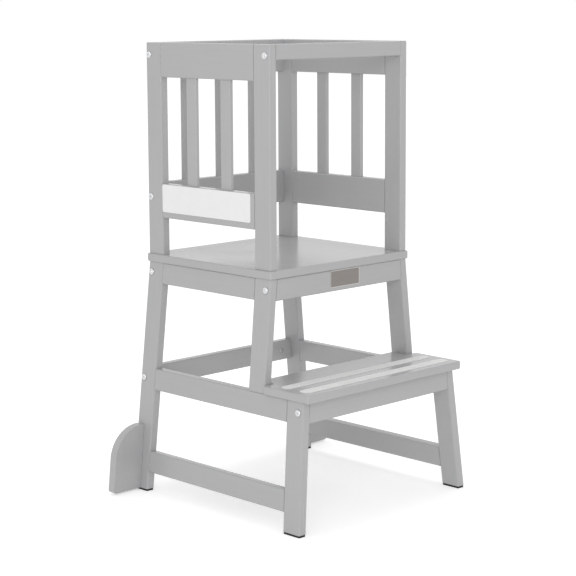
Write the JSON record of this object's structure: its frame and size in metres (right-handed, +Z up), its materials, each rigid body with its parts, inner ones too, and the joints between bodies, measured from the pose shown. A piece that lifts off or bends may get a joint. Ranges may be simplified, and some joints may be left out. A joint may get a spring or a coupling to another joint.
{
  "type": "kids step stool",
  "caption": "Guarded kitchen stool for a child: railed platform on splayed legs, with a low step in front and stabiliser fins behind",
  "frame": {"origin": "on the floor, under the middle of the whole stool", "axes": "X across the stool, -Y towards the step in front, Z up"},
  "size_m": [0.6076, 0.483, 0.9],
  "materials": {
    "painted_wood": "semi-gloss grey paint",
    "grip_strip": "pale textured grip tape",
    "foot_pad": "matte",
    "bolts": "satin",
    "barrel_nuts": "satin"
  },
  "bodies": {
    "root": {"barrel_nuts": "barrel_nuts", "bottom_side_rail_left": "painted_wood", "bottom_side_rail_right": "painted_wood", "foot_pad_rear_left": "foot_pad", "foot_pad_rear_right": "foot_pad", "foot_pad_step_left": "foot_pad", "foot_pad_step_right": "foot_pad", "frame_bolts": "bolts", "front_apron": "painted_wood", "front_leg_left": "painted_wood", "front_leg_right": "painted_wood", "front_top_rail": "painted_wood", "grip_strip_front": "grip_strip", "grip_strip_rear": "grip_strip", "guard_post_front_left": "painted_wood", "guard_post_front_right": "painted_wood", "guard_post_rear_left": "painted_wood", "guard_post_rear_right": "painted_wood", "middle_side_rail_left": "painted_wood", "middle_side_rail_right": "painted_wood", "platform": "painted_wood", "rear_apron": "painted_wood", "rear_cross_rail": "painted_wood", "rear_leg_left": "painted_wood", "rear_leg_right": "painted_wood", "rear_lower_rail": "painted_wood", "rear_slat_1": "painted_wood", "rear_slat_2": "painted_wood", "rear_slat_3": "painted_wood", "rear_top_rail": "painted_wood", "side_apron_left": "painted_wood", "side_apron_right": "painted_wood", "side_lower_rail_left": "painted_wood", "side_lower_rail_right": "painted_wood", "side_slat_left_1": "painted_wood", "side_slat_left_2": "painted_wood", "side_slat_right_1": "painted_wood", "side_slat_right_2": "painted_wood", "side_top_rail_left": "painted_wood", "side_top_rail_right": "painted_wood", "stabiliser_fin_left": "painted_wood", "stabiliser_fin_right": "painted_wood", "step_apron": "painted_wood", "step_board": "painted_wood", "step_leg_left": "painted_wood", "step_leg_right": "painted_wood"}
  },
  "joints": []
}
